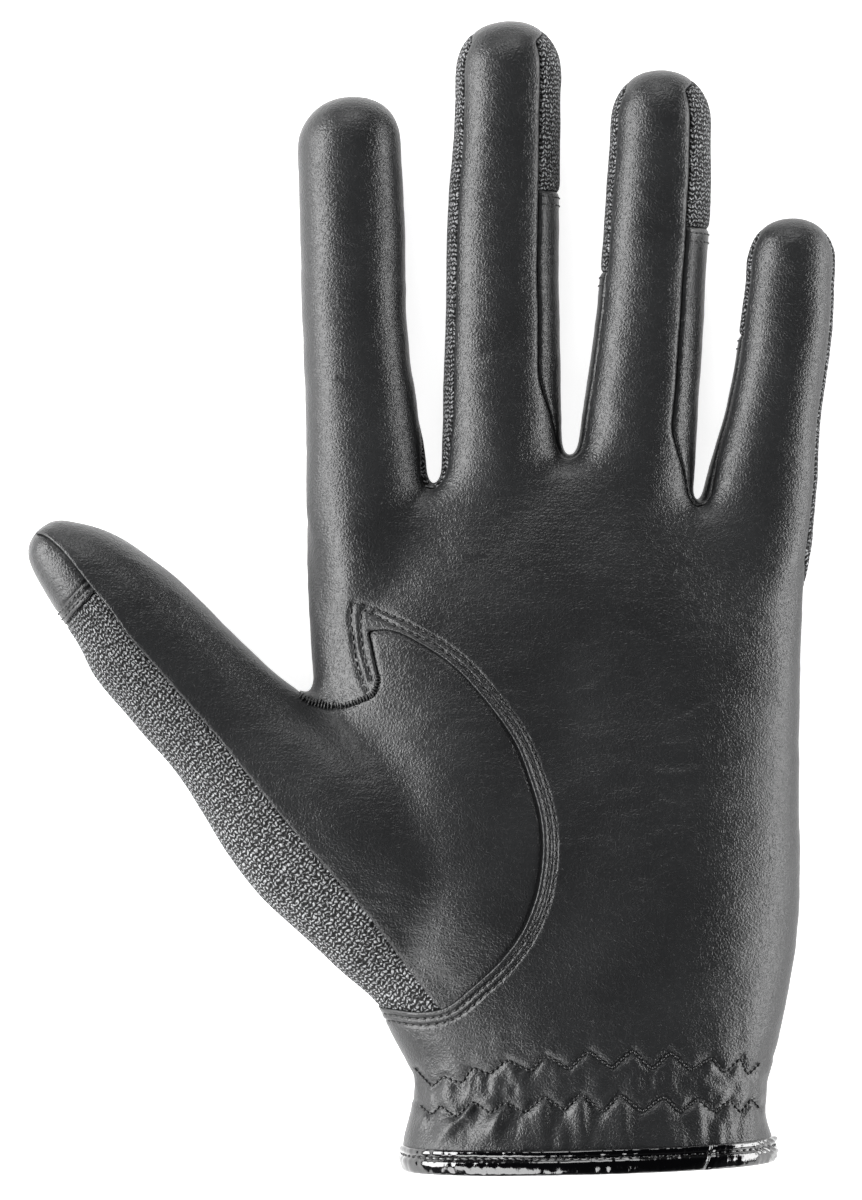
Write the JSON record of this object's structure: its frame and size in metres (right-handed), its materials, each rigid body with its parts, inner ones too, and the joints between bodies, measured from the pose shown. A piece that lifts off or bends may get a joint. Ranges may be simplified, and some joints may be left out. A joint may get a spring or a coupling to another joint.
{
  "type": "riding glove",
  "caption": "Left-hand riding glove with a leather palm, knit back and side walls, set-in thumb, gathered elastic wrist and a glossy bound hem, lying palm up.",
  "frame": {"origin": "middle of the glove's bounding box, on the surface that its back lies on", "axes": "+Y from the hem to the fingertips, -X towards the thumb, +Z out of the palm"},
  "size_m": [0.1516, 0.2146, 0.0323],
  "materials": {
    "leather": "fine grained, semi-matt",
    "knit": "ribbed jersey, matt",
    "patent_binding": "patent leather, high gloss"
  },
  "bodies": {
    "root": {"palm_panel": "leather", "back_panel": "knit", "fourchette_index_middle": "knit", "fourchette_middle_ring": "leather", "fourchette_ring_little": "leather", "thumb_panel": "leather", "thumb_back": "knit", "thumb_cap": "leather", "cuff_binding": "patent_binding"}
  },
  "joints": []
}
